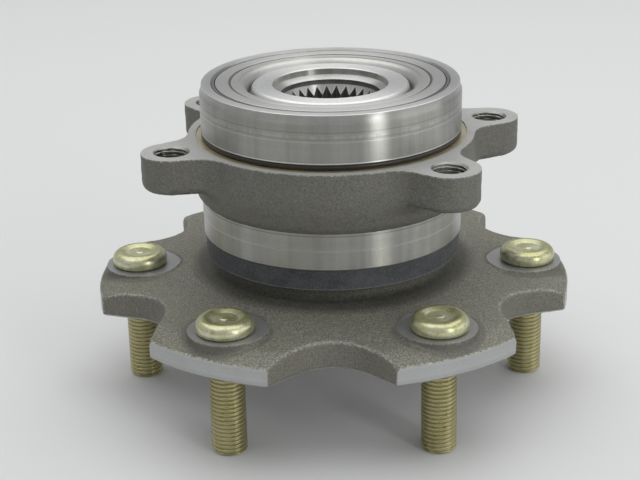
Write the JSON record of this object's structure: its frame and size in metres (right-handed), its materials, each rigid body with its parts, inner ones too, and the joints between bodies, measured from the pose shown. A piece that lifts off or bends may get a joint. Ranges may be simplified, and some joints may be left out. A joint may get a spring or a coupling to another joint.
{
  "type": "wheel hub bearing",
  "caption": "Driven wheel hub bearing unit: forged hub with studded wheel flange and splined bore, turning on ball rows in an outer ring with threaded ears.",
  "frame": {"origin": "on the bearing's axis, in the wheel mounting face of the hub flange", "axes": "+Z runs along the axis from the wheel towards the drive shaft; the knuckle ears mirror about the YZ plane, the wide pair on the +Y side; +X is square to both"},
  "size_m": [0.1678, 0.1678, 0.1111],
  "materials": {
    "forged_hub_steel": "grainy forged surface with smooth machined rim, spot faces and bore",
    "forged_ring_steel": "turned and ground bands above and below a satin forged body",
    "ground_steel": "fine ground",
    "seal_steel": "smooth pressed sheet",
    "ball_steel": "polished",
    "plated_stud": "yellow-passivated zinc plating",
    "o_ring_rubber": "matte, slightly oily",
    "seal_rubber": "matte moulded",
    "cage_resin": "moulded glass-filled resin"
  },
  "bodies": {
    "knuckle_side": {"outer_ring": "forged_ring_steel", "o_ring": "o_ring_rubber", "inboard_seal_case": "seal_steel", "inboard_seal_lip": "seal_rubber", "outboard_seal_case": "seal_steel", "outboard_seal_lip": "seal_rubber"},
    "hub_side": {"hub": "forged_hub_steel", "inner_ring": "ground_steel", "inboard_slinger": "seal_steel", "wheel_stud_1": "plated_stud", "wheel_stud_2": "plated_stud", "wheel_stud_3": "plated_stud", "wheel_stud_4": "plated_stud", "wheel_stud_5": "plated_stud", "wheel_stud_6": "plated_stud"},
    "cage_inboard_side": {"cage_inboard": "cage_resin"},
    "ball_inboard_01_side": {"ball_inboard_01": "ball_steel"},
    "ball_inboard_02_side": {"ball_inboard_02": "ball_steel"},
    "ball_inboard_03_side": {"ball_inboard_03": "ball_steel"},
    "ball_inboard_04_side": {"ball_inboard_04": "ball_steel"},
    "ball_inboard_05_side": {"ball_inboard_05": "ball_steel"},
    "ball_inboard_06_side": {"ball_inboard_06": "ball_steel"},
    "ball_inboard_07_side": {"ball_inboard_07": "ball_steel"},
    "ball_inboard_08_side": {"ball_inboard_08": "ball_steel"},
    "ball_inboard_09_side": {"ball_inboard_09": "ball_steel"},
    "ball_inboard_10_side": {"ball_inboard_10": "ball_steel"},
    "ball_inboard_11_side": {"ball_inboard_11": "ball_steel"},
    "ball_inboard_12_side": {"ball_inboard_12": "ball_steel"},
    "ball_inboard_13_side": {"ball_inboard_13": "ball_steel"},
    "cage_outboard_side": {"cage_outboard": "cage_resin"},
    "ball_outboard_01_side": {"ball_outboard_01": "ball_steel"},
    "ball_outboard_02_side": {"ball_outboard_02": "ball_steel"},
    "ball_outboard_03_side": {"ball_outboard_03": "ball_steel"},
    "ball_outboard_04_side": {"ball_outboard_04": "ball_steel"},
    "ball_outboard_05_side": {"ball_outboard_05": "ball_steel"},
    "ball_outboard_06_side": {"ball_outboard_06": "ball_steel"},
    "ball_outboard_07_side": {"ball_outboard_07": "ball_steel"},
    "ball_outboard_08_side": {"ball_outboard_08": "ball_steel"},
    "ball_outboard_09_side": {"ball_outboard_09": "ball_steel"},
    "ball_outboard_10_side": {"ball_outboard_10": "ball_steel"},
    "ball_outboard_11_side": {"ball_outboard_11": "ball_steel"},
    "ball_outboard_12_side": {"ball_outboard_12": "ball_steel"},
    "ball_outboard_13_side": {"ball_outboard_13": "ball_steel"}
  },
  "joints": [
    {"name": "hub_spin", "type": "hinge", "parent": "knuckle_side", "child": "hub_side", "pos_m": [0, 0, 0], "axis": [0, 0, 1], "continuous": true},
    {"name": "cage_inboard_spin", "type": "hinge", "parent": "knuckle_side", "child": "cage_inboard_side", "pos_m": [0, 0, 0.0627], "axis": [0, 0, 1], "continuous": true},
    {"name": "ball_inboard_01_spin", "type": "hinge", "parent": "cage_inboard_side", "child": "ball_inboard_01_side", "pos_m": [0.032, 0, 0.0627], "axis": [0.6157, 0, 0.788], "continuous": true},
    {"name": "ball_inboard_02_spin", "type": "hinge", "parent": "cage_inboard_side", "child": "ball_inboard_02_side", "pos_m": [0.02833, 0.01487, 0.0627], "axis": [0.5451, 0.2861, 0.788], "continuous": true},
    {"name": "ball_inboard_03_spin", "type": "hinge", "parent": "cage_inboard_side", "child": "ball_inboard_03_side", "pos_m": [0.01818, 0.02634, 0.0627], "axis": [0.3497, 0.5067, 0.788], "continuous": true},
    {"name": "ball_inboard_04_spin", "type": "hinge", "parent": "cage_inboard_side", "child": "ball_inboard_04_side", "pos_m": [0.00386, 0.03177, 0.0627], "axis": [0.0742, 0.6112, 0.788], "continuous": true},
    {"name": "ball_inboard_05_spin", "type": "hinge", "parent": "cage_inboard_side", "child": "ball_inboard_05_side", "pos_m": [-0.01135, 0.02992, 0.0627], "axis": [-0.2183, 0.5757, 0.788], "continuous": true},
    {"name": "ball_inboard_06_spin", "type": "hinge", "parent": "cage_inboard_side", "child": "ball_inboard_06_side", "pos_m": [-0.02395, 0.02122, 0.0627], "axis": [-0.4608, 0.4083, 0.788], "continuous": true},
    {"name": "ball_inboard_07_spin", "type": "hinge", "parent": "cage_inboard_side", "child": "ball_inboard_07_side", "pos_m": [-0.03107, 0.00766, 0.0627], "axis": [-0.5978, 0.1473, 0.788], "continuous": true},
    {"name": "ball_inboard_08_spin", "type": "hinge", "parent": "cage_inboard_side", "child": "ball_inboard_08_side", "pos_m": [-0.03107, -0.00766, 0.0627], "axis": [-0.5978, -0.1473, 0.788], "continuous": true},
    {"name": "ball_inboard_09_spin", "type": "hinge", "parent": "cage_inboard_side", "child": "ball_inboard_09_side", "pos_m": [-0.02395, -0.02122, 0.0627], "axis": [-0.4608, -0.4083, 0.788], "continuous": true},
    {"name": "ball_inboard_10_spin", "type": "hinge", "parent": "cage_inboard_side", "child": "ball_inboard_10_side", "pos_m": [-0.01135, -0.02992, 0.0627], "axis": [-0.2183, -0.5757, 0.788], "continuous": true},
    {"name": "ball_inboard_11_spin", "type": "hinge", "parent": "cage_inboard_side", "child": "ball_inboard_11_side", "pos_m": [0.00386, -0.03177, 0.0627], "axis": [0.0742, -0.6112, 0.788], "continuous": true},
    {"name": "ball_inboard_12_spin", "type": "hinge", "parent": "cage_inboard_side", "child": "ball_inboard_12_side", "pos_m": [0.01818, -0.02634, 0.0627], "axis": [0.3497, -0.5067, 0.788], "continuous": true},
    {"name": "ball_inboard_13_spin", "type": "hinge", "parent": "cage_inboard_side", "child": "ball_inboard_13_side", "pos_m": [0.02833, -0.01487, 0.0627], "axis": [0.5451, -0.2861, 0.788], "continuous": true},
    {"name": "cage_outboard_spin", "type": "hinge", "parent": "knuckle_side", "child": "cage_outboard_side", "pos_m": [0, 0, 0.039], "axis": [0, 0, 1], "continuous": true},
    {"name": "ball_outboard_01_spin", "type": "hinge", "parent": "cage_outboard_side", "child": "ball_outboard_01_side", "pos_m": [0.032, 0, 0.039], "axis": [-0.6157, 0, 0.788], "continuous": true},
    {"name": "ball_outboard_02_spin", "type": "hinge", "parent": "cage_outboard_side", "child": "ball_outboard_02_side", "pos_m": [0.02833, 0.01487, 0.039], "axis": [-0.5451, -0.2861, 0.788], "continuous": true},
    {"name": "ball_outboard_03_spin", "type": "hinge", "parent": "cage_outboard_side", "child": "ball_outboard_03_side", "pos_m": [0.01818, 0.02634, 0.039], "axis": [-0.3497, -0.5067, 0.788], "continuous": true},
    {"name": "ball_outboard_04_spin", "type": "hinge", "parent": "cage_outboard_side", "child": "ball_outboard_04_side", "pos_m": [0.00386, 0.03177, 0.039], "axis": [-0.0742, -0.6112, 0.788], "continuous": true},
    {"name": "ball_outboard_05_spin", "type": "hinge", "parent": "cage_outboard_side", "child": "ball_outboard_05_side", "pos_m": [-0.01135, 0.02992, 0.039], "axis": [0.2183, -0.5757, 0.788], "continuous": true},
    {"name": "ball_outboard_06_spin", "type": "hinge", "parent": "cage_outboard_side", "child": "ball_outboard_06_side", "pos_m": [-0.02395, 0.02122, 0.039], "axis": [0.4608, -0.4083, 0.788], "continuous": true},
    {"name": "ball_outboard_07_spin", "type": "hinge", "parent": "cage_outboard_side", "child": "ball_outboard_07_side", "pos_m": [-0.03107, 0.00766, 0.039], "axis": [0.5978, -0.1473, 0.788], "continuous": true},
    {"name": "ball_outboard_08_spin", "type": "hinge", "parent": "cage_outboard_side", "child": "ball_outboard_08_side", "pos_m": [-0.03107, -0.00766, 0.039], "axis": [0.5978, 0.1473, 0.788], "continuous": true},
    {"name": "ball_outboard_09_spin", "type": "hinge", "parent": "cage_outboard_side", "child": "ball_outboard_09_side", "pos_m": [-0.02395, -0.02122, 0.039], "axis": [0.4608, 0.4083, 0.788], "continuous": true},
    {"name": "ball_outboard_10_spin", "type": "hinge", "parent": "cage_outboard_side", "child": "ball_outboard_10_side", "pos_m": [-0.01135, -0.02992, 0.039], "axis": [0.2183, 0.5757, 0.788], "continuous": true},
    {"name": "ball_outboard_11_spin", "type": "hinge", "parent": "cage_outboard_side", "child": "ball_outboard_11_side", "pos_m": [0.00386, -0.03177, 0.039], "axis": [-0.0742, 0.6112, 0.788], "continuous": true},
    {"name": "ball_outboard_12_spin", "type": "hinge", "parent": "cage_outboard_side", "child": "ball_outboard_12_side", "pos_m": [0.01818, -0.02634, 0.039], "axis": [-0.3497, 0.5067, 0.788], "continuous": true},
    {"name": "ball_outboard_13_spin", "type": "hinge", "parent": "cage_outboard_side", "child": "ball_outboard_13_side", "pos_m": [0.02833, -0.01487, 0.039], "axis": [-0.5451, 0.2861, 0.788], "continuous": true}
  ],
  "couplings": [
    {"joint": "cage_inboard_spin", "follows": "hub_spin", "ratio": 0.41693},
    {"joint": "ball_inboard_01_spin", "follows": "hub_spin", "ratio": -2.306},
    {"joint": "ball_inboard_02_spin", "follows": "hub_spin", "ratio": -2.306},
    {"joint": "ball_inboard_03_spin", "follows": "hub_spin", "ratio": -2.306},
    {"joint": "ball_inboard_04_spin", "follows": "hub_spin", "ratio": -2.306},
    {"joint": "ball_inboard_05_spin", "follows": "hub_spin", "ratio": -2.306},
    {"joint": "ball_inboard_06_spin", "follows": "hub_spin", "ratio": -2.306},
    {"joint": "ball_inboard_07_spin", "follows": "hub_spin", "ratio": -2.306},
    {"joint": "ball_inboard_08_spin", "follows": "hub_spin", "ratio": -2.306},
    {"joint": "ball_inboard_09_spin", "follows": "hub_spin", "ratio": -2.306},
    {"joint": "ball_inboard_10_spin", "follows": "hub_spin", "ratio": -2.306},
    {"joint": "ball_inboard_11_spin", "follows": "hub_spin", "ratio": -2.306},
    {"joint": "ball_inboard_12_spin", "follows": "hub_spin", "ratio": -2.306},
    {"joint": "ball_inboard_13_spin", "follows": "hub_spin", "ratio": -2.306},
    {"joint": "cage_outboard_spin", "follows": "hub_spin", "ratio": 0.41693},
    {"joint": "ball_outboard_01_spin", "follows": "hub_spin", "ratio": -2.306},
    {"joint": "ball_outboard_02_spin", "follows": "hub_spin", "ratio": -2.306},
    {"joint": "ball_outboard_03_spin", "follows": "hub_spin", "ratio": -2.306},
    {"joint": "ball_outboard_04_spin", "follows": "hub_spin", "ratio": -2.306},
    {"joint": "ball_outboard_05_spin", "follows": "hub_spin", "ratio": -2.306},
    {"joint": "ball_outboard_06_spin", "follows": "hub_spin", "ratio": -2.306},
    {"joint": "ball_outboard_07_spin", "follows": "hub_spin", "ratio": -2.306},
    {"joint": "ball_outboard_08_spin", "follows": "hub_spin", "ratio": -2.306},
    {"joint": "ball_outboard_09_spin", "follows": "hub_spin", "ratio": -2.306},
    {"joint": "ball_outboard_10_spin", "follows": "hub_spin", "ratio": -2.306},
    {"joint": "ball_outboard_11_spin", "follows": "hub_spin", "ratio": -2.306},
    {"joint": "ball_outboard_12_spin", "follows": "hub_spin", "ratio": -2.306},
    {"joint": "ball_outboard_13_spin", "follows": "hub_spin", "ratio": -2.306}
  ]
}
